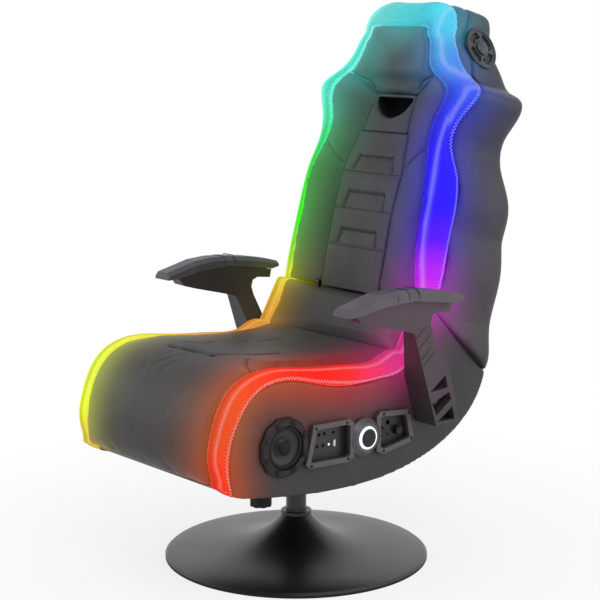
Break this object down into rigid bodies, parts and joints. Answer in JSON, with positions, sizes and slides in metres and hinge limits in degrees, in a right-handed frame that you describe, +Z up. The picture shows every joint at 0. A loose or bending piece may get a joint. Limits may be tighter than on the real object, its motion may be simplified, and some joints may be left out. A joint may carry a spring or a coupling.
{
  "type": "gaming rocker chair",
  "caption": "Padded gaming rocker chair with high curved back, forward armrests, lit mesh edging, side speakers and control panel, on a round swivel pedestal with tilt.",
  "frame": {"origin": "middle of the whole chair's footprint, on the floor", "axes": "+Z up, the chair faces -Y, +X is to the sitter's left, where the control panel is"},
  "size_m": [0.598, 0.8237, 1.0996],
  "materials": {
    "black_steel": "satin black powder coat",
    "rubber_trim": "matte",
    "cast_weight": "rough, primed",
    "nylon": "natural nylon",
    "zinc_steel": "zinc plated",
    "black_plastic": "fine matte grain",
    "grey_plastic": "fine matte grain",
    "arm_skin": "soft touch, matte",
    "white_plastic": "smooth",
    "clear_ring": "translucent, lit",
    "plywood": "raw",
    "padded_leather": "matte faux leather over foam",
    "light_mesh": "spacer mesh over a light strip, stitched edge",
    "speaker_paper": "coated paper cone",
    "galvanised_sheet": "plain"
  },
  "bodies": {
    "base": {"base_dish": "black_steel", "base_rim_ring": "rubber_trim", "neck_tube": "black_steel", "base_weight": "cast_weight", "swivel_bush": "nylon"},
    "swivel": {"swivel_post": "black_steel", "tilt_lower_bracket": "black_steel", "tilt_axle": "zinc_steel"},
    "tension_screw": {"tension_knob": "black_plastic", "tension_bolt": "zinc_steel"},
    "dial": {"control_dial": "clear_ring"},
    "dial_push": {"dial_button": "black_plastic"},
    "volume": {"volume_knob": "black_plastic"},
    "bass": {"bass_knob": "black_plastic"},
    "pairing": {"pair_button": "black_plastic"},
    "switch": {"power_switch": "white_plastic"},
    "back": {"back_strip_left": "light_mesh", "back_strip_right": "light_mesh", "head_strip": "light_mesh", "back_centre_pad": "padded_leather", "neck_pad": "padded_leather", "head_pad": "padded_leather", "back_bolster_left": "padded_leather", "back_bolster_right": "padded_leather", "back_rear_shell": "padded_leather", "back_board": "plywood", "head_speaker_frames": "black_plastic", "head_speaker_drivers": "speaker_paper", "subwoofer": "speaker_paper", "fold_hinge_back_leaves": "zinc_steel", "fold_pins": "zinc_steel"},
    "seat": {"tilt_spring": "zinc_steel", "tilt_upper_bracket": "black_steel", "mount_bolts": "zinc_steel", "seat_side_board_right": "plywood", "seat_side_board_left": "plywood", "seat_side_pad_right": "padded_leather", "seat_side_pad_left": "padded_leather", "seat_strip_left": "light_mesh", "seat_strip_right": "light_mesh", "seat_cushion": "padded_leather", "lumbar_pad": "padded_leather", "seat_deck": "plywood", "seat_underside_panel": "padded_leather", "seat_cross_boards": "plywood", "seat_ledge_pad": "padded_leather", "fold_hinge_seat_leaves": "zinc_steel", "seat_speaker_frames": "black_plastic", "seat_speaker_cones": "speaker_paper", "seat_speaker_motors": "zinc_steel", "dial_housing": "grey_plastic", "socket_pod": "black_plastic", "knob_pod": "black_plastic", "power_lamp": "clear_ring", "amplifier_box": "galvanised_sheet", "arm_body_left": "grey_plastic", "arm_body_right": "grey_plastic", "arm_pad_left": "arm_skin", "arm_pad_right": "arm_skin", "arm_bolts": "zinc_steel"}
  },
  "joints": [
    {"name": "swivel_spin", "type": "hinge", "parent": "base", "child": "swivel", "pos_m": [0, -0.03, 0.05], "axis": [0, 0, 1], "continuous": true},
    {"name": "seat_tilt", "type": "hinge", "parent": "swivel", "child": "seat", "pos_m": [0, -0.01, 0.175], "axis": [1, 0, 0], "range_deg": [-12, 0], "stiffness_Nm_per_rad": 220, "springref_deg": 20.05, "deforming": ["tilt_spring"]},
    {"name": "back_fold", "type": "hinge", "parent": "seat", "child": "back", "pos_m": [0, 0.109, 0.531], "axis": [1, 0, 0], "range_deg": [0, 100]},
    {"name": "tension_turn", "type": "hinge", "parent": "swivel", "child": "tension_screw", "pos_m": [0, -0.122, 0.13], "axis": [0, 0, 1], "range_deg": [-720, 720]},
    {"name": "dial_turn", "type": "hinge", "parent": "seat", "child": "dial", "pos_m": [0.236, -0.059, 0.294], "axis": [1, 0, 0], "range_deg": [-135, 135]},
    {"name": "dial_press", "type": "slide", "parent": "dial", "child": "dial_push", "axis": [-1, 0, 0], "range_m": [0, 0.0012], "stiffness_N_per_m": 600, "springref_m": -0.001},
    {"name": "volume_turn", "type": "hinge", "parent": "seat", "child": "volume", "pos_m": [0.225, -0.009, 0.294], "axis": [1, 0, 0], "range_deg": [-140, 140]},
    {"name": "bass_turn", "type": "hinge", "parent": "seat", "child": "bass", "pos_m": [0.225, 0.034, 0.291], "axis": [1, 0, 0], "range_deg": [-140, 140]},
    {"name": "pair_press", "type": "slide", "parent": "seat", "child": "pairing", "axis": [-1, 0, 0], "range_m": [0, 0.0012], "stiffness_N_per_m": 400, "springref_m": -0.001},
    {"name": "switch_slide", "type": "slide", "parent": "seat", "child": "switch", "axis": [0, 0, 1], "range_m": [-0.0013, 0.0013]}
  ]
}
